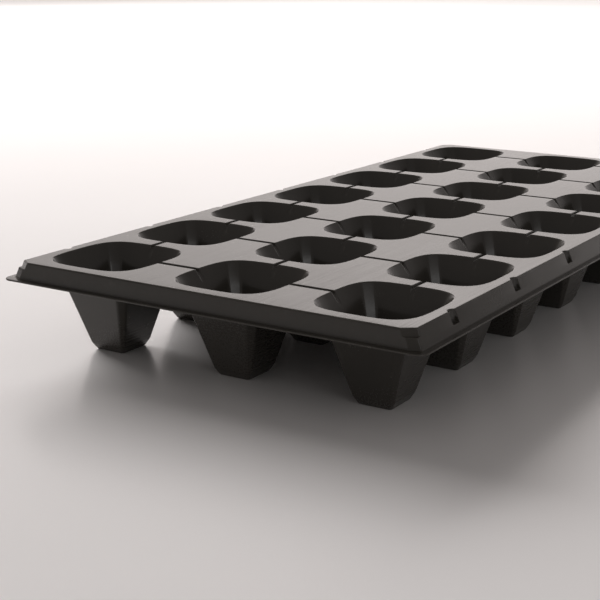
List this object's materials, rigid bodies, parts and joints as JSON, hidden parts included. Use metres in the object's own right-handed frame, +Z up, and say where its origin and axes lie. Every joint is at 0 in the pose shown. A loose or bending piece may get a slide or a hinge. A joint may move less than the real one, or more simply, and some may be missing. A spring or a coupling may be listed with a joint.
{
  "type": "seedling cell tray",
  "caption": "Black thermoformed seedling tray with tapered square cells hanging from a flat deck, a flared skirt and a thin turned-out flange.",
  "frame": {"origin": "centre of the tray's footprint, on the surface that the feet stand on", "axes": "+X across the tray to the right, +Y along the tray away from the front end, +Z up"},
  "size_m": [0.278, 0.538, 0.056],
  "materials": {
    "rim_sheet": "semi-gloss black thermoformed sheet",
    "cell_sheet": "semi-gloss black sheet, drawn thinner and a little duller than the deck"
  },
  "bodies": {
    "root": {"deck": "rim_sheet", "skirt_front": "rim_sheet", "skirt_back": "rim_sheet", "skirt_left": "rim_sheet", "skirt_right": "rim_sheet", "corner_front_left": "rim_sheet", "corner_front_right": "rim_sheet", "corner_back_left": "rim_sheet", "corner_back_right": "rim_sheet", "flange_front": "rim_sheet", "flange_back": "rim_sheet", "flange_left": "rim_sheet", "flange_right": "rim_sheet", "cell_r1_c1": "cell_sheet", "cell_r1_c2": "cell_sheet", "cell_r1_c3": "cell_sheet", "cell_r2_c1": "cell_sheet", "cell_r2_c2": "cell_sheet", "cell_r2_c3": "cell_sheet", "cell_r3_c1": "cell_sheet", "cell_r3_c2": "cell_sheet", "cell_r3_c3": "cell_sheet", "cell_r4_c1": "cell_sheet", "cell_r4_c2": "cell_sheet", "cell_r4_c3": "cell_sheet", "cell_r5_c1": "cell_sheet", "cell_r5_c2": "cell_sheet", "cell_r5_c3": "cell_sheet", "cell_r6_c1": "cell_sheet", "cell_r6_c2": "cell_sheet", "cell_r6_c3": "cell_sheet", "cell_r7_c1": "cell_sheet", "cell_r7_c2": "cell_sheet", "cell_r7_c3": "cell_sheet"}
  },
  "joints": []
}
